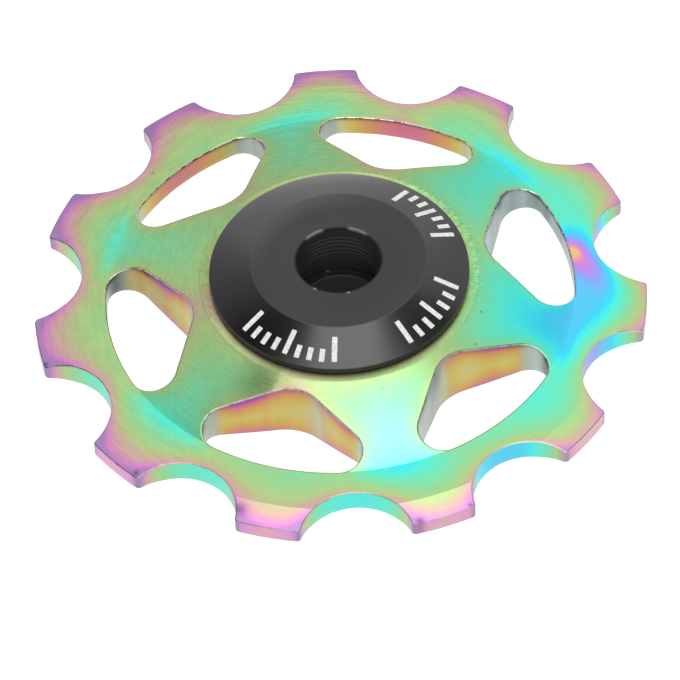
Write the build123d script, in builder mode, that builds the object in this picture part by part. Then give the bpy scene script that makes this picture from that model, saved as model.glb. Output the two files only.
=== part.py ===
from build123d import *
import os
from math import asin, degrees, pi, sin

# Chain that the teeth mesh with
chain_pitch = 12.7
chain_roller_diameter = 7.75
roller_clearance = 0.15

# Toothed wheel
tooth_count = 11
tip_drop = 0.78
tip_corner_radius = 0.32
tip_thickness = 1.12
tip_taper_length = 1.86
rim_thickness = 1.7
rim_width = 1.9
window_count = 6
spoke_neck = 1.14
window_corner_radius = 1.6
window_apex_radius = 2.85
window_hub_margin = 0.53
hub_land_margin = 0.65
seat_lead_in = 0.15

# Cartridge bearing
bearing_bore = 8.0
bearing_diameter = 16.0
bearing_width = 5.0
bearing_edge_break = 0.2
ball_count = 9
ball_diameter = 2.0
ball_play = 0.02
race_radius_margin = 0.04
race_depth = 0.35

# Ball cage
cage_running_gap = 0.15
cage_pocket_play = 0.06
cage_end_gap = 0.4
cage_claw_height = 0.55
cage_slot_width = 0.8
cage_slot_depth = 1.05

# Bearing seals
seal_thickness = 0.5
seal_recess = 0.15
seal_seat_wall = 0.8
seal_lip_gap = 0.1
seal_lip_bevel = 0.25

# End caps
overall_width = 8.2
axle_bore = 6.0
axle_edge_break = 0.05
cap_face_diameter = 12.5
cap_overlap = 1.2
cap_edge_height = 0.4
cap_running_gap = 0.1
cap_shoulder_width = 1.1
stub_gap = 2.1
stub_lead_in = 0.3

# Heights that the pieces share, measured from the middle plane
hub_half = bearing_width / 2
rim_half = rim_thickness / 2
tip_half = tip_thickness / 2
cap_underside = hub_half + cap_running_gap
cap_edge_top = cap_underside + cap_edge_height
cap_face = overall_width / 2
stub_end = stub_gap / 2
seal_outside = hub_half - seal_recess
seal_inside = seal_outside - seal_thickness

# Radii that the pieces share
bearing_seat_radius = bearing_diameter / 2
inner_bore_radius = bearing_bore / 2
ball_radius = ball_diameter / 2
ball_circle_radius = (bearing_seat_radius + inner_bore_radius) / 2
race_radius = ball_radius + race_radius_margin
inner_race_bottom = ball_circle_radius - ball_radius - ball_play
outer_race_bottom = ball_circle_radius + ball_radius + ball_play
inner_shoulder = inner_race_bottom + race_depth
outer_shoulder = outer_race_bottom - race_depth
seal_seat_radius = bearing_seat_radius - seal_seat_wall
cap_radius = bearing_seat_radius + cap_overlap
hub_land_radius = cap_radius + hub_land_margin
pitch_radius = chain_pitch / (2 * sin(pi / tooth_count))
pocket_radius = chain_roller_diameter / 2 + roller_clearance
root_radius = pitch_radius - pocket_radius
tip_radius = pitch_radius - tip_drop
taper_start_radius = tip_radius - tip_taper_length
crease_radius = root_radius - rim_width

# One tooth and one spoke lie on +Y
first_tooth_angle = 90
first_pocket_angle = first_tooth_angle + 180 / tooth_count
first_window_angle = first_tooth_angle + 180 / window_count


# Toothed wheel: a turned blank, thick at the hub, milled to the outlines of the teeth and windows
neck_half_angle = degrees(asin(spoke_neck / 2 / crease_radius))
corner_angle = 180 / window_count - neck_half_angle

with BuildSketch() as window:
    with BuildLine():
        rim_arc = CenterArc((0, 0), crease_radius, -corner_angle, 2 * corner_angle)
        window_apex = (hub_land_radius + window_hub_margin, 0)
        Line(rim_arc @ 1, window_apex)
        Line(window_apex, rim_arc @ 0)
    make_face()
    fillet(window.vertices().sort_by(Axis.X)[-2:], radius=window_corner_radius)
    fillet(window.vertices().sort_by(Axis.X)[0], radius=window_apex_radius)

with BuildPart() as toothed_wheel:
    with BuildSketch(Plane.XZ):
        with BuildLine():
            blank_side = Polyline(
                (bearing_seat_radius, 0),
                (bearing_seat_radius, hub_half - seat_lead_in),
                (bearing_seat_radius + seat_lead_in, hub_half),
                (hub_land_radius, hub_half),
                (crease_radius, rim_half),
                (taper_start_radius, rim_half),
                (tip_radius, tip_half),
                (tip_radius, 0),
            )
            mirror(blank_side, about=Plane.XZ)
        make_face()
    revolve(axis=Axis.Z)
    with BuildSketch() as outline:
        Circle(tip_radius)
        with PolarLocations(pitch_radius, tooth_count, start_angle=first_pocket_angle):
            Circle(pocket_radius, mode=Mode.SUBTRACT)
        fillet(outline.vertices(), radius=tip_corner_radius)
        with PolarLocations(0, window_count, start_angle=first_window_angle):
            add(window.sketch, mode=Mode.SUBTRACT)
    extrude(amount=hub_half, both=True, mode=Mode.INTERSECT)


# End caps: turned flanges whose stubs sit in the inner ring and leave a gap at the middle
with BuildPart() as front_cap:
    with BuildSketch(Plane.XZ):
        with BuildLine():
            Polyline(
                (axle_bore / 2, stub_end),
                (axle_bore / 2, cap_face - axle_edge_break),
                (axle_bore / 2 + axle_edge_break, cap_face),
                (cap_face_diameter / 2, cap_face),
                (cap_radius, cap_edge_top),
                (cap_radius, cap_underside),
                (inner_bore_radius + cap_shoulder_width, cap_underside),
                (inner_bore_radius + cap_shoulder_width, hub_half),
                (inner_bore_radius, hub_half),
                (inner_bore_radius, stub_end + stub_lead_in),
                (inner_bore_radius - stub_lead_in, stub_end),
                close=True,
            )
        make_face()
    revolve(axis=Axis.Z)

with BuildPart() as rear_cap:
    mirror(front_cap.part, about=Plane.XY)


# Bearing rings: turned blanks with a ground race groove each
with BuildPart() as bearing_outer_ring:
    with BuildSketch(Plane.XZ):
        with BuildLine():
            ring_side = Polyline(
                (outer_shoulder, 0),
                (outer_shoulder, seal_inside),
                (seal_seat_radius, seal_inside),
                (seal_seat_radius, hub_half),
                (bearing_seat_radius - bearing_edge_break, hub_half),
                (bearing_seat_radius, hub_half - bearing_edge_break),
                (bearing_seat_radius, 0),
            )
            mirror(ring_side, about=Plane.XZ)
        make_face()
        with Locations((outer_race_bottom - race_radius, 0)):
            Circle(race_radius, mode=Mode.SUBTRACT)
    revolve(axis=Axis.Z)

with BuildPart() as bearing_inner_ring:
    with BuildSketch(Plane.XZ):
        with BuildLine():
            ring_side = Polyline(
                (inner_bore_radius, 0),
                (inner_bore_radius, hub_half - bearing_edge_break),
                (inner_bore_radius + bearing_edge_break, hub_half),
                (inner_shoulder, hub_half),
                (inner_shoulder, 0),
            )
            mirror(ring_side, about=Plane.XZ)
        make_face()
        with Locations((inner_race_bottom + race_radius, 0)):
            Circle(race_radius, mode=Mode.SUBTRACT)
    revolve(axis=Axis.Z)


# Ball cage: one snap-in ring, with a round pocket for each ball and slots that free the claws beside it
cage_back = cage_end_gap - seal_inside
cage_pocket_radius = ball_radius + cage_pocket_play
slot_centre = cage_claw_height - cage_slot_depth + cage_slot_width / 2
first_slot_angle = first_tooth_angle + 180 / ball_count
drilled_outward = {"rotation": (0, 90, 0), "align": (Align.CENTER, Align.CENTER, Align.MIN)}
milled_down = (Align.MIN, Align.CENTER, Align.MIN)

with BuildPart() as ball_cage:
    with BuildSketch(Plane.XY.offset(cage_back)):
        Circle(outer_shoulder - cage_running_gap)
        Circle(inner_shoulder + cage_running_gap, mode=Mode.SUBTRACT)
    extrude(amount=cage_claw_height - cage_back)
    with PolarLocations(0, ball_count, start_angle=first_tooth_angle):
        Cylinder(cage_pocket_radius, bearing_seat_radius, **drilled_outward, mode=Mode.SUBTRACT)
    with Locations((0, 0, slot_centre)):
        with PolarLocations(0, ball_count, start_angle=first_slot_angle):
            Cylinder(cage_slot_width / 2, bearing_seat_radius, **drilled_outward, mode=Mode.SUBTRACT)
            Box(bearing_seat_radius, cage_slot_width, cage_slot_depth, align=milled_down, mode=Mode.SUBTRACT)


# Bearing seals: flat rings seated in the outer ring, with a bevelled lip just clear of the inner ring
seal_lip_radius = inner_shoulder + seal_lip_gap

with BuildPart() as front_seal:
    with BuildSketch(Plane.XZ):
        with BuildLine():
            Polyline(
                (seal_seat_radius, seal_inside),
                (seal_seat_radius, seal_outside),
                (seal_lip_radius + seal_lip_bevel, seal_outside),
                (seal_lip_radius, seal_outside - seal_lip_bevel),
                (seal_lip_radius, seal_inside),
                close=True,
            )
        make_face()
    revolve(axis=Axis.Z)

with BuildPart() as rear_seal:
    mirror(front_seal.part, about=Plane.XY)


# Balls, evenly spaced round the pitch circle of the bearing
balls = {}
for index in range(ball_count):
    ball_angle = first_tooth_angle + index * 360 / ball_count
    with BuildPart() as ball:
        with PolarLocations(ball_circle_radius, 1, start_angle=ball_angle):
            Sphere(ball_radius)
    balls[f"ball_{index + 1}"] = ball


# One file for each piece, under the name that it goes by
pieces = {
    "toothed_wheel": toothed_wheel,
    "front_cap": front_cap,
    "rear_cap": rear_cap,
    "bearing_outer_ring": bearing_outer_ring,
    "bearing_inner_ring": bearing_inner_ring,
    "ball_cage": ball_cage,
    "front_seal": front_seal,
    "rear_seal": rear_seal,
    **balls,
}

os.makedirs("parts", exist_ok=True)
for name, piece in pieces.items():
    piece.part.label = name
    export_step(piece.part, f"parts/{name}.step")
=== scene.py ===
import bmesh
import bpy
import numpy as np
from mathutils import Matrix, Vector


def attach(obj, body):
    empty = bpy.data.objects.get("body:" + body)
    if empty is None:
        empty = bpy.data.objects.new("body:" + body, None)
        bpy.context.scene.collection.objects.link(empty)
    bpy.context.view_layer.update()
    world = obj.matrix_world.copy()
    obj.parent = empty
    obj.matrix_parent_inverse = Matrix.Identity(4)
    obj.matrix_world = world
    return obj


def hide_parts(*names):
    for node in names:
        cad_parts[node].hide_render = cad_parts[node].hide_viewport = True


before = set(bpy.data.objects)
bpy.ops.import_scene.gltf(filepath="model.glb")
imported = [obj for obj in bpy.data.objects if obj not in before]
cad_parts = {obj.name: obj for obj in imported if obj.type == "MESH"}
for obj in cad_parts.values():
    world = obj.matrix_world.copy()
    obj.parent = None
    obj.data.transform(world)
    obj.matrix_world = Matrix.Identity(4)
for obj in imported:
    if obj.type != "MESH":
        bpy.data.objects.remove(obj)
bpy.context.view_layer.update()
mm = 0.001


# small helpers for shapes

def polar(radius, angle):
    return np.stack([radius * np.cos(angle), radius * np.sin(angle)], -1)


def turned(points, angle):  # flat points turned about the axle
    x, y = points[..., 0], points[..., 1]
    return np.stack([x * np.cos(angle) - y * np.sin(angle), x * np.sin(angle) + y * np.cos(angle)], -1)


def traced(along, runs):
    # outline made of arcs: a point is its run's centre plus radius times the unit normal,
    # while centre, radius and normal angle all change evenly along the run
    length, angleA, angleB, radiusA, radiusB = np.array([run[:5] for run in runs]).T
    centreA, centreB = np.array([run[5] for run in runs]), np.array([run[6] for run in runs])
    ends = np.cumsum(length)
    at = np.minimum(np.searchsorted(ends, along), len(runs) - 1)
    part = (along - ends[at] + length[at]) / length[at]
    angle = angleA[at] + (angleB - angleA)[at] * part
    radius = radiusA[at] + (radiusB - radiusA)[at] * part
    normal = polar(1.0, angle)
    return centreA[at] + (centreB - centreA)[at] * part[:, None] + radius[:, None] * normal, normal


def crossing(start, end, radius):  # share of the way from start to end at which the line leaves a circle
    step = end - start
    a, b = (step * step).sum(-1), (start * step).sum(-1)
    c = (start * start).sum(-1) - radius ** 2
    return np.clip((np.sqrt(np.maximum(b * b - a * c, 0)) - b) / a, 0, 1)


def gridFaces(rows, columns, wrapRows=False):  # quads of a grid that closes on itself along its columns
    index = np.arange(rows * columns).reshape(rows, columns)
    if wrapRows:
        index = np.vstack([index, index[:1]])
    right = np.roll(index, -1, 1)
    return np.stack([index[:-1], right[:-1], right[1:], index[1:]], -1).reshape(-1, 4)


def meshPiece(name, grids, faces, marks=None):
    # grids of points in mm become one welded, outward-facing mesh with smooth shading
    points = np.concatenate([g.reshape(-1, 3) for g in grids]) * mm
    starts = np.cumsum([0] + [g[..., 0].size for g in grids[:-1]])
    quads = np.concatenate([f + s for f, s in zip(faces, starts)])
    mesh = bpy.data.meshes.new(name)
    mesh.vertices.add(len(points))
    mesh.vertices.foreach_set("co", points.ravel())
    mesh.loops.add(quads.size)
    mesh.loops.foreach_set("vertex_index", quads.ravel().astype(np.int32))
    mesh.polygons.add(len(quads))
    mesh.polygons.foreach_set("loop_start", np.arange(0, quads.size, 4, dtype=np.int32))
    for mark, values in (marks or {}).items():
        layer = mesh.attributes.new(mark, "FLOAT", "POINT")
        layer.data.foreach_set("value", np.concatenate([v.ravel() for v in values]).astype(np.float32))
    mesh.update(calc_edges=True)
    work = bmesh.new()
    work.from_mesh(mesh)
    bmesh.ops.remove_doubles(work, verts=work.verts, dist=2e-7)
    bmesh.ops.dissolve_degenerate(work, edges=work.edges, dist=1e-8)
    bmesh.ops.recalc_face_normals(work, faces=work.faces)
    work.to_mesh(mesh)
    work.free()
    mesh.shade_smooth()
    piece = bpy.data.objects.new(name, mesh)
    bpy.context.scene.collection.objects.link(piece)
    return piece


def sharpenRings(piece, rings):  # edges that lie on a (radius, height) ring stay crisp
    mesh = piece.data
    place = np.empty(len(mesh.vertices) * 3, np.float32)
    mesh.vertices.foreach_get("co", place)
    place = place.reshape(-1, 3) / mm
    ends = np.empty(len(mesh.edges) * 2, np.int32)
    mesh.edges.foreach_get("vertices", ends)
    radius, height = np.hypot(place[:, 0], place[:, 1]), np.abs(place[:, 2])
    sharp = np.zeros(len(mesh.edges), bool)
    for ringRadius, ringHeight in rings:
        on = (np.abs(radius - ringRadius) < 2e-3) & (np.abs(height - ringHeight) < 2e-3)
        sharp |= on[ends.reshape(-1, 2)].all(1)
    mesh.edges.foreach_set("use_edge_sharp", sharp)


# small helpers for materials

class Wire:  # one socket; sums on it add Math nodes
    def __init__(self, shader, socket):
        self.shader, self.socket = shader, socket

    def math(self, operation, *others):
        return self.shader.node("Math", {"operation": operation}, dict(enumerate((self,) + others)))

    def out(self, name):
        return Wire(self.shader, self.socket.node.outputs[name])

    def __add__(self, other): return self.math("ADD", other)
    def __mul__(self, other): return self.math("MULTIPLY", other)
    def __sub__(self, other): return self.math("SUBTRACT", other)
    def __truediv__(self, other): return self.math("DIVIDE", other)
    def __pow__(self, other): return self.math("POWER", other)
    def __neg__(self): return self.math("MULTIPLY", -1.0)
    def __rsub__(self, other): return (-self) + other
    __radd__, __rmul__ = __add__, __mul__
    def sqrt(self): return self.math("SQRT")
    def exp(self): return self.math("EXPONENT")
    def sin(self): return self.math("SINE")
    def cos(self): return self.math("COSINE")
    def abs(self): return self.math("ABSOLUTE")
    def max(self, other): return self.math("MAXIMUM", other)
    def min(self, other): return self.math("MINIMUM", other)
    def fold(self, half): return self.math("PINGPONG", half)

    def step(self, low, high):  # smooth step from 0 at low to 1 at high; either may be the larger
        return self.shader.node("MapRange", {"interpolation_type": "SMOOTHSTEP"},
                                {"Value": self, "From Min": low, "From Max": high})

    def around(self, degrees, wide, narrow):  # on an angle: 1 within narrow of a direction, 0 beyond wide
        return (self - np.radians(degrees)).fold(np.pi).step(np.radians(wide), np.radians(narrow))


class Shader:
    def __init__(self, owner):
        owner.use_nodes = True
        self.tree = owner.node_tree
        self.tree.nodes.clear()

    def node(self, kind, settings=None, inputs=None, out=0):
        made = self.tree.nodes.new("ShaderNode" + kind)
        for key, value in (settings or {}).items():
            if key == "stops":
                ramp = made.color_ramp
                while len(ramp.elements) < len(value):
                    ramp.elements.new(1.0)
                for element, (place, colour) in zip(ramp.elements, value):
                    element.position, element.color = place, colour
            else:
                setattr(made, key, value)
        for key, value in (inputs or {}).items():
            if isinstance(value, Wire):
                self.tree.links.new(value.socket, made.inputs[key])
            else:
                made.inputs[key].default_value = value
        return Wire(self, made.outputs[out]) if made.outputs else None

    def mix(self, share, first, second, blend="MIX"):
        return self.node("Mix", {"data_type": "RGBA", "blend_type": blend}, {0: share, 6: first, 7: second}, 2)

    def noise(self, place, scale, detail=2.0, roughness=0.5):
        return self.node("TexNoise", None, {"Vector": place, "Scale": scale, "Detail": detail, "Roughness": roughness})

    def vector(self, x, y, z):
        return self.node("CombineXYZ", None, {0: x, 1: y, 2: z})

    def place(self):  # object coordinates in mm
        spot = self.node("VectorMath", {"operation": "SCALE"},
                         {"Vector": self.node("TexCoord", out="Object"), "Scale": 1 / mm})
        x = self.node("SeparateXYZ", None, {0: spot})
        return spot, x, x.out("Y"), x.out("Z")

    def finish(self, **inputs):
        surface = self.node("BsdfPrincipled", None, {k.replace("_", " "): v for k, v in inputs.items()})
        self.node("OutputMaterial", None, {"Surface": surface})


def srgb(*rgb):  # 0-255 screen colour to linear
    c = np.array(rgb) / 255
    return (*np.where(c <= 0.04045, c / 12.92, ((c + 0.055) / 1.055) ** 2.4).tolist(), 1.0)


# toothed wheel

wheelShape = {
    "teeth": 11, "firstTooth": 90.0, "chainPitch": 12.7, "pocket": 4.025, "tipDrop": 0.78, "tipCorner": 0.32,
    "tipHalf": 0.56, "taper": 1.86, "rimHalf": 0.85, "rimWidth": 1.9, "hubHalf": 2.5, "land": 9.85, "seat": 8.0,
    "leadIn": 0.15, "windows": 6, "neck": 1.14, "windowCorner": 1.6, "windowApex": 2.85, "windowGap": 0.53,
    "toothEdge": 0.07, "windowEdge": 0.11, "edgeHold": 0.05, "joinRadius": 17.2,
}
w = wheelShape
halfTooth, halfWindow = np.pi / w["teeth"], np.pi / w["windows"]
pitchRadius = w["chainPitch"] / (2 * np.sin(halfTooth))
tipRadius = pitchRadius - w["tipDrop"]
taperRadius = tipRadius - w["taper"]
creaseRadius = pitchRadius - w["pocket"] - w["rimWidth"]
coneSlope = (w["hubHalf"] - w["rimHalf"]) / (creaseRadius - w["land"])
origin = np.zeros(2)

# tooth outline from the middle of the tip: tip arc, corner arc, then the roller pocket, which curves the other way
pocketCentre = polar(pitchRadius, np.float64(halfTooth))
cornerReach, pocketReach = tipRadius - w["tipCorner"], w["pocket"] + w["tipCorner"]
cornerTurn = halfTooth - np.arccos((pitchRadius ** 2 + cornerReach ** 2 - pocketReach ** 2)
                                   / (2 * pitchRadius * cornerReach))
tipCornerCentre = polar(cornerReach, np.float64(cornerTurn))
flankTurn = np.arctan2(*(pocketCentre - tipCornerCentre)[::-1])
toothRuns = [
    (tipRadius * cornerTurn, 0, cornerTurn, tipRadius, tipRadius, origin, origin),
    (w["tipCorner"] * (flankTurn - cornerTurn), cornerTurn, flankTurn, w["tipCorner"], w["tipCorner"],
     tipCornerCentre, tipCornerCentre),
    (w["pocket"] * (flankTurn - halfTooth), flankTurn, halfTooth, -w["pocket"], -w["pocket"],
     pocketCentre, pocketCentre),
]

# window outline from the middle of its outer arc: rim arc, corner arc, straight side, apex arc
cornerAngle = halfWindow - np.arcsin(w["neck"] / 2 / creaseRadius)
sideFoot = np.array([w["land"] + w["windowGap"], 0.0])
side = polar(creaseRadius, np.float64(cornerAngle)) - sideFoot
side /= np.hypot(*side)
sideNormal = np.array([-side[1], side[0]])
sideTurn = np.arctan2(sideNormal[1], sideNormal[0])
apexCentre = np.array([sideFoot[0] - w["windowApex"] / sideNormal[0], 0.0])
inset = sideFoot - w["windowCorner"] * sideNormal
reach = inset @ side
cornerCentre = inset + side * (np.sqrt(reach ** 2 - inset @ inset + (creaseRadius - w["windowCorner"]) ** 2) - reach)
rimTurn = np.arctan2(cornerCentre[1], cornerCentre[0])
sideLength = abs((apexCentre - cornerCentre) @ side)
windowRuns = [
    (creaseRadius * rimTurn, 0, rimTurn, creaseRadius, creaseRadius, origin, origin),
    (w["windowCorner"] * (sideTurn - rimTurn), rimTurn, sideTurn, w["windowCorner"], w["windowCorner"],
     cornerCentre, cornerCentre),
    (sideLength, sideTurn, sideTurn, w["windowCorner"], w["windowApex"], cornerCentre, apexCentre),
    (w["windowApex"] * (np.pi - sideTurn), sideTurn, np.pi, w["windowApex"], w["windowApex"], apexCentre, apexCentre),
]


def faceHeight(flat):  # turned face of the wheel: flat hub land, cone, flat rim, then the taper of the teeth
    return np.interp(np.hypot(flat[..., 0], flat[..., 1]), [w["land"], creaseRadius, taperRadius, tipRadius],
                     [w["hubHalf"], w["rimHalf"], w["rimHalf"], w["tipHalf"]])


def throughWall(face, edge, normal, width):
    # rows run over the front face, round the broken edge, down the wall and back over the rear face;
    # normal points from the wall's opening into the metal
    drop = width * np.array([1.0, 0.293, 0.0])
    lip = edge + normal * drop[:, None, None]
    face3 = np.concatenate([face, faceHeight(face)[..., None]], -1)
    lip3 = np.concatenate([lip, (faceHeight(lip) - drop[::-1, None])[..., None]], -1)
    front = np.concatenate([face3, lip3])
    back = front[::-1] * [1, 1, -1]
    share = np.array([0.25, 0.5, 0.75])[:, None, None]
    rows = np.concatenate([front, front[-1:] * (1 - share) + back[:1] * share, back])
    ones = np.ones(rows.shape[1])
    wallRow = np.array([0.0] * len(face) + [0, 0.5, 1])
    edgeRow = np.array([0.0] * len(face) + [0, 1, 0])
    wall = np.concatenate([wallRow, [1, 1, 1], wallRow[::-1]])[:, None] * ones
    broken = np.concatenate([edgeRow, [0, 0, 0], edgeRow[::-1]])[:, None] * ones
    return rows, wall, broken


def buildWheel():
    # teeth: each column runs from the join circle to the tooth outline, with rows that follow the taper's start
    half = 48
    runEnds = np.cumsum([run[0] for run in toothRuns])
    column = np.arange(-half, half)
    point, normal = traced(np.interp(np.abs(column), [0, 12, 20, half], [0, *runEnds]), toothRuns)
    flip = np.where(column < 0, -1.0, 1.0)[:, None] ** [0, 1]
    toothAngle = np.radians(w["firstTooth"]) + 2 * halfTooth * np.arange(w["teeth"])
    outline = turned((point * flip)[None], toothAngle[:, None]).reshape(-1, 2)
    inward = -turned((normal * flip)[None], toothAngle[:, None]).reshape(-1, 2)
    joinAngle = (toothAngle[:, None] + halfTooth * column / half).ravel()
    start, end = polar(w["joinRadius"], joinAngle), outline + inward * (w["toothEdge"] + w["edgeHold"])
    bend = crossing(start, end, taperRadius)[:, None]
    shares = [0 * bend, bend * 0.3, bend * 0.6, bend * 0.85, bend, bend + (1 - bend) * 0.5, 0 * bend + 1]
    teeth = throughWall(np.stack([start + (end - start) * s for s in shares]), outline, inward, w["toothEdge"])

    # windows: columns fan out from the window outline to its cell, which spans one spoke's middle to the next
    arcSteps, creaseSteps, spokeSteps, hubSteps = 88, 6, 40, 28
    knots = np.cumsum([0, arcSteps, creaseSteps, spokeSteps, hubSteps])
    k = np.arange(knots[-1] + 1)
    cellRadius = np.interp(k, knots, [w["joinRadius"], w["joinRadius"], creaseRadius, w["land"], w["land"]])
    cellAngle = np.interp(k, knots, [0, halfWindow, halfWindow, halfWindow, 0])
    lengths = np.cumsum([0] + [run[0] for run in windowRuns])
    onCorner = lambda degrees: lengths[1] + w["windowCorner"] * (np.radians(degrees) - rimTurn)
    neckFoot = cornerCentre @ polar(1.0, np.float64(halfWindow))
    neckColumn = np.interp(-neckFoot, [-creaseRadius, -w["land"]], knots[2:4])
    along = np.interp(k, [0, arcSteps * rimTurn / halfWindow, *knots[1:3], neckColumn, *knots[3:]],
                      [0, lengths[1], onCorner(50), onCorner(60), onCorner(120), lengths[3] - 0.75, lengths[4]])
    point, normal = traced(along, windowRuns)
    cell = polar(cellRadius, cellAngle)
    loop = np.concatenate([k, k[-2:0:-1]])
    flip = np.where(np.arange(len(loop)) > k[-1], -1.0, 1.0)[:, None] ** [0, 1]
    windowAngle = 2 * halfWindow * np.arange(w["windows"])
    point, normal, cell = (turned((a[loop] * flip)[None], windowAngle[:, None]) for a in (point, normal, cell))
    near = point + normal * (w["windowEdge"] + w["edgeHold"])
    bend = crossing(near, cell, creaseRadius)[..., None]
    shares = [0 * bend + 1, bend + (1 - bend) * 0.66, bend + (1 - bend) * 0.33, bend,
              bend * 0.7, bend * 0.45, bend * 0.2, 0 * bend]
    faces = np.stack([near + (cell - near) * s for s in shares])
    cells = [throughWall(faces[:, i], point[i], normal[i], w["windowEdge"]) for i in range(w["windows"])]

    # hub: the land, the lead-in and the bearing seat, turned about the axle
    hubProfile = np.array([(w["land"], w["hubHalf"]), (w["land"] - 0.7, w["hubHalf"]),
                           (w["seat"] + w["leadIn"], w["hubHalf"]), (w["seat"], w["hubHalf"] - w["leadIn"]),
                           (w["seat"], 0.9)])
    hubProfile = np.concatenate([hubProfile, hubProfile[::-1] * [1, -1]])
    hubAngle = np.arange(2 * hubSteps * w["windows"]) * halfWindow / hubSteps
    hub = np.concatenate([polar(hubProfile[:, :1], hubAngle[None]),
                          np.broadcast_to(hubProfile[:, 1, None, None], (10, len(hubAngle), 1))], -1)
    blank = np.zeros(hub.shape[:2])
    parts = [teeth, *cells, (hub, blank, blank)]
    grids = [part[0] for part in parts]
    marks = {"wall": [part[1] for part in parts], "broken": [part[2] for part in parts]}
    wheel = meshPiece("rainbow_wheel", grids, [gridFaces(*g.shape[:2]) for g in grids], marks)
    sharpenRings(wheel, [(creaseRadius, w["rimHalf"]), (taperRadius, w["rimHalf"]), (w["land"], w["hubHalf"]),
                         (w["seat"] + w["leadIn"], w["hubHalf"]), (w["seat"], w["hubHalf"] - w["leadIn"])])
    return wheel


# interference colours of the coating from its thin end to its thick end
filmLow, filmHigh = -0.15, 1.08
filmColours = [
    (-0.15, (140, 150, 172)), (-0.08, (160, 140, 182)), (0.00, (190, 128, 192)), (0.06, (210, 138, 198)),
    (0.13, (212, 156, 179)), (0.20, (209, 171, 161)), (0.27, (197, 181, 150)), (0.34, (181, 200, 138)),
    (0.41, (169, 209, 139)), (0.48, (150, 213, 150)), (0.55, (133, 222, 169)), (0.62, (111, 229, 189)),
    (0.69, (91, 237, 211)), (0.75, (72, 233, 237)), (0.81, (66, 212, 246)), (0.86, (92, 200, 243)),
    (0.90, (142, 165, 245)), (0.94, (206, 132, 228)), (0.97, (234, 150, 180)), (1.00, (236, 190, 140)),
    (1.08, (226, 214, 120)),
]
filmShape = {
    "full": 0.480, "greyTurn": 138.5, "pocket": (0.296, 0.96), "tip": (0.499, 2.14), "window": (0.237, 0.70), "hub": (0.316, 1.71),
    "knot": {"radius": 16.89, "width": 5.2, "narrow": (0.079, 0.57), "broad": (0.126, 2.58)}, "limit": (-0.06, 0.855),
    # thicker and thinner patches: change, centre x, centre y, width
    "patches": [(0.487, -10.2, -13.5, 3.94), (0.297, -12.9, -8.6, 21.9), (-0.074, -8.6, 2.6, 7.1),
                (0.069, 12.9, -11.3, 1.8), (0.074, 3.0, 17.1, 1.9), (-0.960, 7.4, -12.2, 2.1), (0.114, -2.8, 15.6, 1.6),
                (-0.13, -6.6, -15.5, 1.5), (-0.05, -14.7, -8.8, 1.3)],
    "spot": {"peak": 0.965, "x": -9.25, "y": -14.1, "turn": 168.0, "ahead": 3.2, "behind": 1.4, "across": 1.05,
             "core": (0.06, -9.2, -14.0, 0.7)},
    "swirl": {"angle": 322.0, "spread": 40.0, "pitch": 0.31, "plain": 0.012, "strong": 0.050},
    # a dark smudge that is partly a painted dark reflection, then a painted highlight; each: amount, centre x, centre
    # y, width
    "smudgeAndDarkReflection": (0.85, -3.3, 10.5, 1.6), "paintedGlare": (0.18, -12.8, 7.6, 3.0),
    # scorched corners of the teeth: strength, centre x, centre y, width
    "scorch": [(0.55, -9.36, 18.51, 0.55), (0.60, -18.83, 10.51, 0.30), (0.50, -20.29, 7.11, 0.16),
               (0.65, -1.85, 21.34, 0.22), (0.70, 9.97, 19.18, 0.18)],
    # darker places on the walls of the windows: strength, centre x, centre y, width
    "darker": [(0.50, -4.6, -15.9, 1.4), (0.42, -2.7, -13.2, 1.3), (0.16, -4.0, -11.0, 1.5), (0.62, 12.4, 10.4, 1.0),
             (0.30, 9.8, 8.9, 2.8), (0.42, -11.5, 2.1, 1.5), (0.15, -12.8, 4.4, 1.4), (0.85, -15.2, -5.5, 0.6),
             (0.25, 16.0, -4.3, 1.6), (0.12, 16.6, 0.5, 3.5)],
}
# coating inside the windows, from the thin edges to the middle of the wall
bronzeColours = [
    (-0.2, (140, 104, 190)), (0.0, (196, 96, 184)), (0.2, (212, 122, 146)), (0.4, (214, 146, 110)),
    (0.6, (213, 168, 98)), (0.8, (211, 189, 104)), (1.0, (204, 200, 142)),
]


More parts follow.
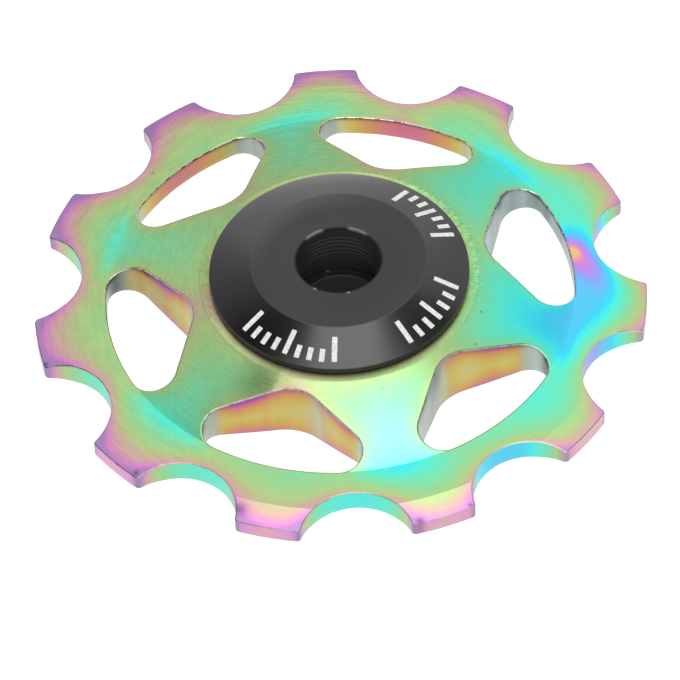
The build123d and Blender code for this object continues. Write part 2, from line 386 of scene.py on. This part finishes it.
def rainbowFilm():
    material = bpy.data.materials.new("rainbow_film")
    s = Shader(material)
    spot, x, y, z = s.place()
    radius = (x * x + y * y).sqrt()
    angle = y.math("ARCTAN2", x)
    around = angle.around
    wall = s.node("Attribute", {"attribute_name": "wall"}, out="Fac")
    broken = s.node("Attribute", {"attribute_name": "broken"}, out="Fac")

    # distances in mm to the two nearest roller pockets, the tip circle and the nearest window
    toothTurn = (angle - np.radians(w["firstTooth"])).fold(halfTooth)
    spread = radius * radius + pitchRadius ** 2

    def toPocket(turn):
        return (spread - radius * turn.cos() * (2 * pitchRadius)).sqrt() - w["pocket"]

    nearPocket, farPocket = toPocket(halfTooth - toothTurn), toPocket(halfTooth + toothTurn)
    windowTurn = angle.fold(halfWindow)
    px, py = radius * windowTurn.cos(), radius * windowTurn.sin()
    axis = cornerCentre - apexCentre
    span = np.hypot(*axis)
    ux, uy = axis / span
    lean = (w["windowApex"] - w["windowCorner"]) / span
    upright = np.sqrt(1 - lean ** 2)
    along = (px - apexCentre[0]) * ux + py * uy
    across = (apexCentre[0] - px) * uy + py * ux
    share = ((along * upright - across * lean) / (upright * span)).max(0.0).min(1.0)
    cx, cy = px - apexCentre[0] - share * axis[0], py - share * axis[1]
    toWindow = ((cx * cx + cy * cy).sqrt() - w["windowApex"] + share * (w["windowApex"] - w["windowCorner"]))
    toWindow = toWindow.max(radius - creaseRadius).max(0.0)

    f = filmShape

    def fade(distance, amount, length):
        return (distance * (-1 / length)).exp() * amount

    def blot(amount, cx, cy, width):
        dx, dy = x - cx, y - cy
        return ((dx * dx + dy * dy) * (-1 / width ** 2)).exp() * amount

    # lathe marks run round the axle, strongest on one side, with fine grain over them
    swirl = f["swirl"]
    offSwirl = (angle - np.radians(swirl["angle"])).fold(np.pi)
    swirled = offSwirl.step(np.radians(swirl["spread"]), 0.0)
    rings = s.noise(s.vector(radius * 4.2 + x * 0.5, angle * 0.8, z * 0.2), 1.0, 3.0, 0.65)
    fineRings = s.noise(s.vector(radius * 15.0, angle * 1.5, 3.0), 1.0, 2.0, 0.6)
    grain = s.noise(spot, 14.0, 2.0, 0.6)
    grooves = (radius * (2 * np.pi / swirl["pitch"]) + rings * 9.0).sin()
    lathe = (grooves * 0.6 + rings - 0.5) * (swirl["plain"] + swirled * swirl["strong"])
    patchy = (s.noise(spot, 0.35, 3.0) - 0.5) * 0.06 + (s.noise(spot, 2.6, 3.0, 0.6) - 0.5) * 0.06

    shift = sum(blot(*patch) for patch in f["patches"])
    offSpoke = radius * (halfWindow - windowTurn).sin() / f["knot"]["width"]
    offCrease = radius - f["knot"]["radius"]

    def knot(amount, depth):  # thicker where a spoke meets the rim
        return (offSpoke * offSpoke * -1.0 - offCrease * offCrease / depth ** 2).exp() * amount

    face = f["full"] + knot(*f["knot"]["narrow"]) + knot(*f["knot"]["broad"]) + shift + patchy + lathe
    face = face - fade(nearPocket, *f["pocket"]) - fade(farPocket, *f["pocket"])
    hubFade = fade(radius - 9.2, *f["hub"]) * (1 - around(22.0, 40.0, 15.0) * 0.35)
    face = face - fade(tipRadius - radius, *f["tip"]) - fade(toWindow, *f["window"]) - hubFade
    face = face.max(f["limit"][0]).math("SMOOTH_MIN", f["limit"][1], 0.10)
    c = f["spot"]
    turn = np.radians(c["turn"])
    spotAlong = (x - c["x"]) * np.cos(turn) + (y - c["y"]) * np.sin(turn)
    spotAlong = spotAlong.max(0.0) / c["ahead"] + spotAlong.min(0.0) / c["behind"]
    spotAcross = ((y - c["y"]) * np.cos(turn) - (x - c["x"]) * np.sin(turn)) / c["across"]
    face = face + ((spotAlong * spotAlong + spotAcross * spotAcross) * -1.0).exp() * (c["peak"] - face) + blot(*c["core"])

    # pocket walls go from blue-green to pink at the tips; where they turn sideways to the camera's direction (greyTurn)
    # they carry a painted grey reflection
    fromRoot = (radius - 18.5).max(0.0)
    outerWall = (0.60 + shift * 1.1).math("SMOOTH_MIN", 0.96, 0.10) - fromRoot * (fromRoot * 0.058 + 0.04)
    cornerShare = toothTurn / cornerTurn
    tipFilm = 0.11 - cornerShare * cornerShare * 0.09 + shift * 0.3
    outerWall = outerWall.math("SMOOTH_MAX", tipFilm, 0.10) + patchy
    pocketTurn = ((angle - np.radians(w["firstTooth"])) / (2 * halfTooth) - 0.5).math("ROUND")
    pocketTurn = pocketTurn * (2 * halfTooth) + (np.radians(w["firstTooth"]) + halfTooth)
    greyTurn = np.radians(f["greyTurn"])
    frontal = ((pocketTurn - greyTurn).cos() * pitchRadius - x * np.cos(greyTurn) - y * np.sin(greyTurn)) / w["pocket"]
    # painted grey reflection on walls turned sideways to the camera's direction
    greyReflection = frontal.step(0.56, 0.14) * radius.step(21.4, 20.8)
    film = face + (outerWall - face) * wall
    tone = s.node("ValToRGB", {"stops": [((t - filmLow) / (filmHigh - filmLow), srgb(*c)) for t, c in filmColours]},
                  {"Fac": (film - filmLow) / (filmHigh - filmLow)})
    tone = s.mix(wall * (0.26 - radius.step(20.9, 21.5) * 0.14), tone, srgb(98, 112, 112))
    tone = s.mix(wall * greyReflection * 0.8, tone, srgb(124, 128, 134))
    offCorner = (toothTurn - (cornerTurn + 0.007)) / 0.013
    tipCorner = (offCorner * offCorner * -1.0).exp() * radius.step(20.9, 21.3) * wall
    tone = s.mix(tipCorner * 0.6, tone, srgb(104, 122, 136))

    # window walls: magenta along the edges and the middle of the outer arc, ochre between, silver in the corners
    onArc = radius.step(16.25, 16.55)
    arcTurn = windowTurn / rimTurn
    depth = (w["hubHalf"] - (radius - w["land"]).max(0.0) * coneSlope - z.abs()).max(0.0)
    lowSide = (angle * w["windows"]).sin().step(0.1, -0.1)
    fromEdge = (depth - z.step(-0.2, 0.2) * lowSide * 0.30).max(0.0)
    edgeTint = fade(fromEdge, 0.96, 0.86) * (0.62 + windowTurn.step(0.04, 0.24) * 0.38) * radius.step(15.3, 12.8)
    streaks = s.noise(s.vector(x * 0.75, y * 0.75, z * 0.12), 1.0, 2.0, 0.5)
    sideFilm = 0.92 - edgeTint + (streaks - 0.5) * 0.5
    arcFilm = 0.17 + x.step(6.0, 14.0) * 0.12 + arcTurn * arcTurn * 0.75 + patchy * 1.5
    bronze = sideFilm + (arcFilm - sideFilm) * onArc
    bronzeLow, bronzeHigh = bronzeColours[0][0], bronzeColours[-1][0]
    bronzeTone = s.node("ValToRGB", {"stops": [((t - bronzeLow) / (bronzeHigh - bronzeLow), srgb(*c))
                                              for t, c in bronzeColours]},
                        {"Fac": (bronze - bronzeLow) / (bronzeHigh - bronzeLow)})
    kx, ky = px - cornerCentre[0], py - cornerCentre[1]
    cornerTurned = ky.math("ARCTAN2", kx)
    bareSide, bareApex = around(240.0, 31.0, 29.0), around(163.0, 21.0, 9.0)
    bareApex = bareApex.max(around(66.0, 11.0, 5.0) * radius.step(12.6, 11.2) * 0.8)
    bareApex = bareApex.max(around(131.0, 10.0, 2.0) * radius.step(12.6, 11.2) * 0.5)
    bare = cornerTurned.step(rimTurn - 0.1, rimTurn + 0.4) * cornerTurned.step(sideTurn + 0.2, sideTurn - 0.5)
    golden = around(276.0, 9.0, 5.0).max(around(38.0, 9.0, 5.0) * radius.step(16.0, 15.3))
    bare = (bare * (1 - golden * 0.85)).max(bareSide).max(bareApex)
    silver = s.mix(streaks.step(0.25, 0.75), srgb(152, 164, 164), srgb(192, 202, 198))
    silver = s.mix(bareSide, silver, s.mix(streaks.step(0.25, 0.75), srgb(132, 150, 160), srgb(182, 194, 200)))
    bronzeTone = s.mix(bare * 0.9, bronzeTone, silver)
    bronzeTone = s.mix(sum(blot(*place) for place in f["darker"]), bronzeTone, srgb(40, 54, 66))
    inside = wall * radius.step(17.6, 17.2)
    tone = s.mix(inside, tone, s.mix(0.20, bronzeTone, srgb(0, 0, 0)))

    # broken edges carry painted reflections, dark on the far window edges and on the left tooth edges, light grey and
    # white on the others, and chips of bare metal that also serve as painted glints; the face has a few pits
    # chips of bare metal, also used as painted glints along the edges
    chipsAndGlints = s.noise(spot, 2.2, 4.0, 0.75)
    inWindow = radius.step(17.6, 17.0)
    onEdge = (broken * 1.5).min(1.0)
    # painted dark reflection on window edges, strongest in the far windows, and a painted white highlight on tooth
    # edges at one side
    darkWindowEdge = inWindow * (0.35 + around(310.0, 95.0, 60.0) * 0.65)
    edgeHighlight = around(205.0, 60.0, 35.0) * (1 - inWindow)
    # painted dark reflection on tooth edges on the left that face the camera's direction
    darkEdge = around(45.0, 55.0, 35.0) * frontal.step(0.10, 0.40) * (1 - inWindow)
    tone = s.mix(onEdge * (0.35 + darkWindowEdge * 0.40 + edgeHighlight * 0.45) * (1 - darkWindowEdge * wall.step(0.55, 0.25)), tone,
                 s.mix(darkWindowEdge, s.mix(edgeHighlight, srgb(190, 186, 198), srgb(236, 236, 238)), srgb(40, 44, 54)))
    tone = s.mix(onEdge * darkEdge * 0.7, tone, srgb(52, 46, 60))
    tone = s.mix(onEdge * chipsAndGlints.step(0.43, 0.50) * (0.25 + darkWindowEdge * 0.75 * wall.step(0.75, 0.40)), tone,
                 srgb(246, 250, 248))
    pits = s.node("TexVoronoi", None, {"Vector": spot, "Scale": 0.55})
    pitted = pits.step(0.085, 0.04) * s.node("SeparateColor", None, {0: pits.out("Color")}).step(0.72, 0.76) * (1 - wall)
    tone = s.mix(pitted * 0.40, tone, srgb(46, 96, 84))
    tone = s.mix(sum(blot(*place) for place in f["scorch"]), tone, srgb(70, 44, 92))
    land = radius.step(10.05, 9.7)

    # handling marks: streaks along the lathe marks and fine mottling, plus a painted highlight on one spoke, a dark
    # smudge beside the hub that is partly a painted dark reflection, and painted shading near the crease, on the land
    # and on the rim
    scuff = s.noise(s.vector(radius * 7.0, angle * 7.0, z * 0.5), 1.0, 4.0, 0.7)
    mottle = s.noise(spot, 5.0, 3.0, 0.7)
    burr = s.noise(s.vector(radius * 2.0, angle * 40.0, 0.0), 1.0, 3.0, 0.7)
    speckle = s.noise(s.vector(radius * 2.4, angle * 13.0, z * 0.5), 1.0, 3.0, 0.6)
    burred = radius.step(9.2, 9.4) * radius.step(10.4, 9.9) * around(255.0, 60.0, 35.0)
    onCone = radius.step(creaseRadius + 0.02, creaseRadius - 0.02)
    # painted highlight: a whitish patch on the cone of one spoke
    tone = s.mix(blot(*f["paintedGlare"]) * onCone * (1 - wall), tone, srgb(226, 255, 248))
    # a dark smudge beside the hub, partly smudging and partly a painted dark reflection that ends where the highlight
    # on the cone begins
    raggedAngle = angle + (mottle - 0.5) * 0.10
    smudgeAndDarkReflection = blot(*f["smudgeAndDarkReflection"]) * raggedAngle.step(np.radians(112.8), np.radians(110.8)) * (1 - wall)
    tone = s.mix(smudgeAndDarkReflection * (scuff * 0.7 + mottle * 0.7 - 0.1).max(0.0), tone, srgb(22, 68, 42))
    # painted shading: lighter on the cone beside the crease, lighter and darker patches on the hub land, darker on the
    # rim at one side
    wearAndPaintedShading = fade((creaseRadius - radius).max(0.0), 0.13, 0.6) * onCone * around(105.0, 30.0, 65.0)
    wearAndPaintedShading = wearAndPaintedShading + land * (around(105.0, 45.0, 25.0) * 0.08 + around(292.0, 26.0, 10.0) * 0.18 - around(32.0, 50.0, 25.0) * 0.25)
    wearAndPaintedShading = wearAndPaintedShading - (1 - onCone) * radius.step(20.2, 19.8) * around(15.0, 60.0, 25.0) * 0.06
    leftish = (x * 0.66 + y * 0.2).step(-12.0, 8.0)
    shade = (scuff - 0.5) * (0.09 + leftish * 0.10 + swirled * 0.2) + (speckle - 0.5) * leftish * 0.30
    shade = shade + (mottle - 0.5) * (0.16 + leftish * 0.06 + land * 0.5)
    shade = shade + grooves * (swirled * 0.035) + (burr - 0.5) * burred * 1.5 + wearAndPaintedShading
    shade = 1 + shade * (1 - wall)
    tone = s.mix(1.0, tone, s.vector(shade, shade, shade), "MULTIPLY")

    height = rings * (0.2 + leftish * 0.2 + swirled * 0.8) + fineRings * 0.1 + speckle * leftish * 0.3
    height = height * (1 - wall) + grain * (0.2 + land * 0.8) + burr * burred
    bump = s.node("Bump", None, {"Strength": 0.07, "Distance": 0.00006, "Height": height - pitted})
    s.finish(Base_Color=tone, Metallic=1.0, Roughness=0.18 + rings * 0.05 + grain * 0.04 + land * 0.18 + wall * 0.08,
             Normal=bump)
    return material


wheel = buildWheel()
wheel.data.materials.append(rainbowFilm())
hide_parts("toothed_wheel")
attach(wheel, "wheel")
print("wheel:", len(wheel.data.polygons), "faces")


# end caps

capShape = {
    "bore": 3.0, "stubEnd": 1.05, "face": 4.1, "faceRadius": 6.25, "radius": 9.2, "edgeTop": 3.0, "underside": 2.6,
    "shoulder": 5.1, "seatHeight": 2.5, "stub": 4.0, "stubLead": 0.3, "ridgeTop": 3.09, "ridgeBottom": 1.14,
    "ridges": 5, "ridgeDepth": 0.02, "columns": 288,
    "specks": [(-0.75, 3.01, 4.08), (-2.67, 1.61, 4.08), (3.18, -1.71, -1.05)], "speckWidth": 0.10,
}


def roundedLoop(corners, steps=5):  # corner points (radius, height, rounding) joined into a loop with arcs at the corners
    place = np.array([c[:2] for c in corners], float)
    before, after = np.roll(place, 1, 0) - place, np.roll(place, -1, 0) - place
    before /= np.linalg.norm(before, axis=1)[:, None]
    after /= np.linalg.norm(after, axis=1)[:, None]
    rounding = np.array([c[2] for c in corners])[:, None, None]
    t = np.linspace(0, 1, steps)[None, :, None]
    ends, starts = before[:, None] * rounding, after[:, None] * rounding
    return (place[:, None] + ends * (1 - t) ** 2 + starts * t ** 2).reshape(-1, 2)


def spun(profile, columns):  # a closed profile of (radius, height) carried round the axle
    angle = np.arange(columns) * 2 * np.pi / columns
    flat = polar(profile[:, :1], angle[None])
    return np.concatenate([flat, np.broadcast_to(profile[:, 1, None, None], (*flat.shape[:2], 1))], -1)


def buildCap(name, side, reamed):
    c = capShape
    loop = roundedLoop([
        (c["bore"], c["stubEnd"], 0.08), (c["bore"], c["face"], 0.13), (c["faceRadius"], c["face"], 0.04),
        (c["radius"], c["edgeTop"], 0.06), (c["radius"], c["underside"], 0.06), (c["shoulder"], c["underside"], 0.02),
        (c["shoulder"], c["seatHeight"], 0.02), (c["stub"], c["seatHeight"], 0.02),
        (c["stub"], c["stubEnd"] + c["stubLead"], 0.03), (c["stub"] - c["stubLead"], c["stubEnd"], 0.03)])
    # reaming left shallow ridges in the front bore
    height = np.linspace(c["ridgeBottom"], c["ridgeTop"], 12 * c["ridges"] + 1)
    wave = 0.5 - 0.5 * np.cos(np.linspace(0, 2 * np.pi * c["ridges"], len(height)))
    ridges = np.stack([c["bore"] + c["ridgeDepth"] * wave * reamed, height], -1)
    loop = np.concatenate([loop[:5], ridges, loop[5:]])
    grid = spun(loop * [1, side], c["columns"])
    return meshPiece(name, [grid], [gridFaces(*grid.shape[:2], wrapRows=True)])


def blackAnodised():
    material = bpy.data.materials.new("black_anodised")
    s = Shader(material)
    spot, x, y, z = s.place()
    radius, angle = (x * x + y * y).sqrt(), y.math("ARCTAN2", x)
    rings = s.noise(s.vector(radius * 9.0, angle * 0.4, z * 2.0), 1.0, 3.0, 0.7)
    cloud = s.noise(spot, 0.6, 3.0)
    grain = s.noise(spot, 25.0, 2.0, 0.6)
    tone = s.mix(cloud, srgb(14, 14, 16), srgb(24, 24, 26))
    dust = s.noise(spot, 7.0, 2.0, 0.8).step(0.74, 0.80)
    tone = s.mix(dust * 0.5, tone, srgb(120, 120, 120))
    rim = radius.step(3.22, 3.12) * z.abs().step(3.85, 3.95)
    # painted light: the bore wall and the stub ends are a lighter grey, lighter still in the rear half, lifting the
    # shade deep in the bore
    paintedBoreLight = (radius.step(3.12, 3.04) * (1 - rim)).max(radius.step(4.1, 3.95) * z.abs().step(1.45, 1.38) * 0.4)
    tone = s.mix(paintedBoreLight * 0.9, tone, s.mix(z.step(0.0, -1.0), srgb(68, 68, 71), srgb(92, 92, 95)))
    # painted highlight on the crests of the ridges in the front bore, on the far wall only
    c = capShape
    crestHighlight = ((z - c["ridgeBottom"]) * (2 * np.pi * c["ridges"] / (c["ridgeTop"] - c["ridgeBottom"]))).cos()
    crestHighlight = crestHighlight.step(0.2, 1.0) * radius.step(3.06, 3.03) * z.step(1.1, 1.3) * z.step(3.4, 3.2)
    crestHighlight = crestHighlight * angle.around(318.5, 62.0, 30.0)
    tone = s.mix(crestHighlight * 0.6, tone, srgb(122, 122, 126))
    # the bore's rim is dull, with painted highlights on two arcs; bright specks mark two nicks on the rim and a painted
    # glint on the rear stub's edge
    rimHighlights = rim * angle.around(351.0, 17.0, 9.0).max(angle.around(290.0, 17.0, 9.0))
    tone = s.mix(rimHighlights * 0.65, tone, srgb(150, 150, 152))
    # bright specks: two nicks in the bore's rim and a painted glint on the rear stub's edge
    for speckX, speckY, speckZ in c["specks"]:
        dx, dy, dz = x - speckX, y - speckY, z - speckZ
        speck = ((dx * dx + dy * dy + dz * dz) * (-1 / c["speckWidth"] ** 2)).exp()
        tone = s.mix(speck, tone, srgb(170, 170, 172))
    bump = s.node("Bump", None, {"Strength": 0.08, "Distance": 0.00005, "Height": rings * 0.6 + grain * 0.4})
    # painted sheen: the flat face is lighter beside one part of its edge
    paintedSheen = radius.step(4.4, 6.3) * (angle - np.radians(350.0)).fold(np.pi).step(np.radians(75.0), np.radians(15.0))
    tone = s.mix(paintedSheen * 0.66, tone, srgb(84, 84, 87))
    # the bevels are burnished, so they are glossier than the flat faces
    burnished = radius.step(6.15, 6.35) * z.abs().step(2.95, 3.05)
    tone = s.mix(burnished * 0.5, tone, srgb(8, 8, 9))
    gloss = burnished * (1 - angle.around(76.0, 42.0, 14.0) * 0.55 - angle.around(25.0, 35.0, 10.0) * 0.15)
    s.finish(Base_Color=tone, Roughness=0.19 + rings * 0.06 + grain * 0.04 + rim * (1 - rimHighlights) * 0.4, IOR=1.6, Coat_Weight=gloss,
             Coat_Roughness=0.16, Normal=bump)
    return material


anodised = blackAnodised()
for name, side in (("front_cap", 1), ("rear_cap", -1)):
    cap = buildCap(name + "_turned", side, side > 0)
    cap.data.materials.append(anodised)
    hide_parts(name)
    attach(cap, "hub")
    print(name + ":", len(cap.data.polygons), "faces")


# plain index ticks in white paint on the front bevel

tickShape = {
    "groups": [(246, 282, 7), (172, 212, 7), (86, 134, 9)], "outer": 8.72, "long": 1.85, "short": 0.95,
    "width": 0.42, "height": 0.012, "sink": 0.02,
}


def buildTicks():
    # each tick is a flat pillow on the bevel: u runs down the bevel, v across it
    t, c = tickShape, capShape
    angles = np.concatenate([np.linspace(a, b, n) for a, b, n in t["groups"]])
    place = np.concatenate([np.arange(n) for _, _, n in t["groups"]])
    count = np.concatenate([np.full(n, n) for _, _, n in t["groups"]])
    isLong = (place % (count - 1) == 0) | (place * 2 == count - 1)
    length = np.where(isLong, t["long"], t["short"])
    u, v = np.meshgrid(np.linspace(-1, 1, 15), np.linspace(-1, 1, 9), indexing="ij")
    swell = np.clip(1 - np.maximum(np.abs(u) ** 12, np.abs(v) ** 6), 0, 1) ** 0.5
    radius = t["outer"] - length[:, None, None] * (0.5 - 0.5 * u)
    offset = t["width"] / 2 * v * np.ones_like(radius)
    bevel = c["edgeTop"] + (c["radius"] - np.hypot(radius, offset)) * (c["face"] - c["edgeTop"]) / (
        c["radius"] - c["faceRadius"])
    grids, faces = [], []
    for rise in (t["height"] * swell - 0.004, -t["sink"] * swell - 0.004):
        flat = turned(np.stack([radius, offset], -1), np.radians(angles)[:, None, None])
        grid = np.concatenate([flat, (bevel + rise)[..., None]], -1)
        grids.append(grid)
        index = np.arange(grid[..., 0].size).reshape(grid.shape[:3])
        faces.append(np.stack([index[:, :-1, :-1], index[:, 1:, :-1], index[:, 1:, 1:], index[:, :-1, 1:]],
                              -1).reshape(-1, 4))
    return meshPiece("index_ticks", grids, faces)


def glowingWhitePaint():
    material = bpy.data.materials.new("glowing_white_paint")
    s = Shader(material)
    spot, x, y, z = s.place()
    wearAndPaintedShading = s.noise(spot, 6.0, 3.0, 0.7)
    tone = s.mix(wearAndPaintedShading.step(0.35, 0.65), srgb(214, 214, 212), srgb(246, 246, 244))
    bump = s.node("Bump", None, {"Strength": 0.1, "Distance": 0.00003, "Height": wearAndPaintedShading})
    # the paint glows faintly: painted light that brightens the ticks
    s.finish(Base_Color=tone, Roughness=0.55 + wearAndPaintedShading * 0.15, Emission_Color=tone, Emission_Strength=0.2, Normal=bump)
    return material


ticks = buildTicks()
ticks.data.materials.append(glowingWhitePaint())
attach(ticks, "hub")
print("ticks:", len(ticks.data.polygons), "faces")


# bearing: CAD shapes with their own finishes

def bearingSteel(name, tint, dark, metal=1.0):
    material = bpy.data.materials.new(name)
    s = Shader(material)
    spot, x, y, z = s.place()
    radius = (x * x + y * y).sqrt()
    ground = s.noise(s.vector(radius * 5.0, z * 18.0, 0.0), 1.0, 3.0, 0.7)
    stain = s.noise(spot, 0.8, 3.0)
    tone = s.mix(stain, srgb(*tint), srgb(*dark))
    bump = s.node("Bump", None, {"Strength": 0.06, "Distance": 0.00003, "Height": ground})
    s.finish(Base_Color=tone, Metallic=metal, Roughness=0.2 + ground * 0.12, Normal=bump)
    return material


def mouldedPolymer(name, tint, dark, roughness):
    material = bpy.data.materials.new(name)
    s = Shader(material)
    spot, x, y, z = s.place()
    cloud, grain = s.noise(spot, 0.9, 3.0), s.noise(spot, 18.0, 2.0, 0.6)
    tone = s.mix(cloud * 0.7 + grain * 0.3, srgb(*tint), srgb(*dark))
    bump = s.node("Bump", None, {"Strength": 0.12, "Distance": 0.00004, "Height": grain})
    s.finish(Base_Color=tone, Roughness=roughness + grain * 0.12, Normal=bump)
    return material


ringSteel = bearingSteel("ring_steel", (176, 178, 182), (150, 152, 156))
# painted shade: the inner ring, seen deep in the bore, gets a darker and less metallic steel
darkRingSteel = bearingSteel("dark_ring_steel", (126, 126, 128), (106, 106, 108), 0.30)
ballSteel = bearingSteel("ball_steel", (200, 202, 205), (182, 184, 188))
cageNylon = mouldedPolymer("cage_nylon", (196, 186, 164), (176, 164, 140), 0.5)
sealRubber = mouldedPolymer("seal_rubber", (34, 34, 36), (24, 24, 25), 0.6)
finishes = {"bearing_outer_ring": ringSteel, "bearing_inner_ring": darkRingSteel, "ball_cage": cageNylon,
            "front_seal": sealRubber, "rear_seal": sealRubber}
for name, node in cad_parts.items():
    finish = finishes.get(name, ballSteel if name.startswith("ball_") else None)
    if finish:
        node.data.materials.clear()
        node.data.materials.append(finish)
print("bearing:", len(finishes) + 9, "nodes dressed")


# floor, light and camera

stageShape = {"floor": 2.0, "floorHeight": -4.1, "light": 0.40, "lightWidth": 0.186, "lightDepth": 0.29, "lightRight": 0.010, "lightAway": 0.009,
              "lightWatts": 0.152, "floorGlow": 0.98, "hubShade": (4.0, 6.2)}
view = {"azimuth": 138.48, "elevation": 49.519, "roll": -3.037, "distance": 374.774, "slide": (-0.038, -2.997),
        "lens": 279.28}
toCamera = np.append(polar(1.0, np.radians(view["azimuth"])), 0.0)
toRight = np.append(polar(1.0, np.radians(view["azimuth"] + 90)), 0.0)

size = stageShape["floor"]
floorMesh = bpy.data.meshes.new("floor")
gx, gy = np.meshgrid(np.linspace(-size, size, 3), np.linspace(-size, size, 3))
floorMesh.from_pydata(np.stack([gx, gy, np.full_like(gx, stageShape["floorHeight"] * mm)], -1).reshape(-1, 3).tolist(),
                      [], [(a, a + 1, a + 4, a + 3) for a in (0, 1, 3, 4)])
floor = bpy.data.objects.new("floor", floorMesh)
bpy.context.scene.collection.objects.link(floor)
floorMaterial = bpy.data.materials.new("pale_floor")
s = Shader(floorMaterial)
spot, x, y, z = s.place()
underHub = (x * x + y * y).sqrt().step(*stageShape["hubShade"])  # no glow up into the bore
s.finish(Base_Color=(0.35, 0.35, 0.35, 1.0), Roughness=0.9, Emission_Strength=stageShape["floorGlow"],
         Emission_Color=s.mix(underHub, (0.02, 0.02, 0.02, 1.0), (1.0, 1.0, 1.0, 1.0)))
floorMesh.materials.append(floorMaterial)

# room: a pale sweep behind the part, darker beside the overhead light
world = bpy.data.worlds.new("studio")
bpy.context.scene.world = world
s = Shader(world)
direction = s.node("TexCoord", out="Generated")


def facing(axis):
    return s.node("VectorMath", {"operation": "DOT_PRODUCT"}, {0: direction, 1: tuple(axis)}, "Value")


right, away, up = facing(toRight), facing(-toCamera), facing((0, 0, 1))
ahead = away.step(-0.10, 0.05) * right.abs().step(0.75, 0.56)
leftDark = away.step(0.340, 0.285) * right.step(-0.19, -0.22) * ahead * 0.95
leftGap = away.step(0.52, 0.38) * right.step(-0.36, -0.44) * ahead * 0.55
rightDark = away.step(0.42, 0.28) * right.step(0.24, 0.36) * ahead * 0.85
farLeft = right.step(-0.34, -0.52) * right.step(-0.85, -0.60) * 0.5
farRight = right.step(0.36, 0.52) * 0.3


def hump(axis, centre, sharpness):
    return ((axis - centre) * (axis - centre) * -sharpness).exp()


sweep = hump(right, 0.20, 40.0) * away.step(0.88, 0.66) * 0.22 + hump(right, -0.22, 90.0) * away.step(0.76, 0.70) * 0.15
glow = hump(right, 0.05, 20.0) * hump(away, 0.38, 22.0) * right.step(-0.23, -0.17) * 0.22
slant = (right * 1.2 - away * 3.0 + 1.98).max(-0.13).min(0.15) * hump(right, 0.0, 25.0)
slant = slant * away.step(0.85, 0.72) * away.step(0.42, 0.56)
behind = hump(right, 0.10, 50.0) * hump(away, 0.80, 90.0) * 0.10 - hump(right, -0.24, 60.0) * hump(away, 0.87, 150.0) * 0.12
level = 0.54 + up.step(0.1, 0.62) * 0.34 + sweep + glow + slant + behind
level = level * (1 - leftDark) * (1 - leftGap) * (1 - rightDark) * (1 - farLeft) * (1 - farRight)
background = s.node("Background", None, {"Color": (1.0, 1.0, 1.0, 1.0), "Strength": level})
s.node("OutputWorld", None, {"Surface": background})

lamp = bpy.data.lights.new("softbox", "AREA")
lamp.shape, lamp.size, lamp.size_y = "RECTANGLE", stageShape["lightWidth"], stageShape["lightDepth"]
lamp.energy = stageShape["lightWatts"]
softbox = bpy.data.objects.new("softbox", lamp)
bpy.context.scene.collection.objects.link(softbox)
lampPlace = Vector(toRight * stageShape["lightRight"] - toCamera * stageShape["lightAway"]) + Vector((0, 0, stageShape["light"]))
softbox.matrix_world = Matrix.Translation(lampPlace) @ Matrix((toRight, -toCamera, (0, 0, 1))).transposed().to_4x4()

elevation, roll = np.radians(view["elevation"]), np.radians(view["roll"])
back = toCamera * np.cos(elevation) + np.array([0, 0, np.sin(elevation)])
upward = np.cross(back, toRight)
level2 = toRight * np.cos(roll) + upward * np.sin(roll)
upward2 = upward * np.cos(roll) - toRight * np.sin(roll)
cameraPlace = (back * view["distance"] + level2 * view["slide"][0] + upward2 * view["slide"][1]) * mm
cameraData = bpy.data.cameras.new("camera")
cameraData.lens, cameraData.sensor_width, cameraData.clip_start = view["lens"], 36.0, 0.01
camera = bpy.data.objects.new("camera", cameraData)
bpy.context.scene.collection.objects.link(camera)
camera.matrix_world = Matrix.Translation(cameraPlace) @ Matrix((level2, upward2, back)).transposed().to_4x4()
bpy.context.scene.camera = camera
bpy.context.scene.view_settings.view_transform = "Standard"
print("stage ready")
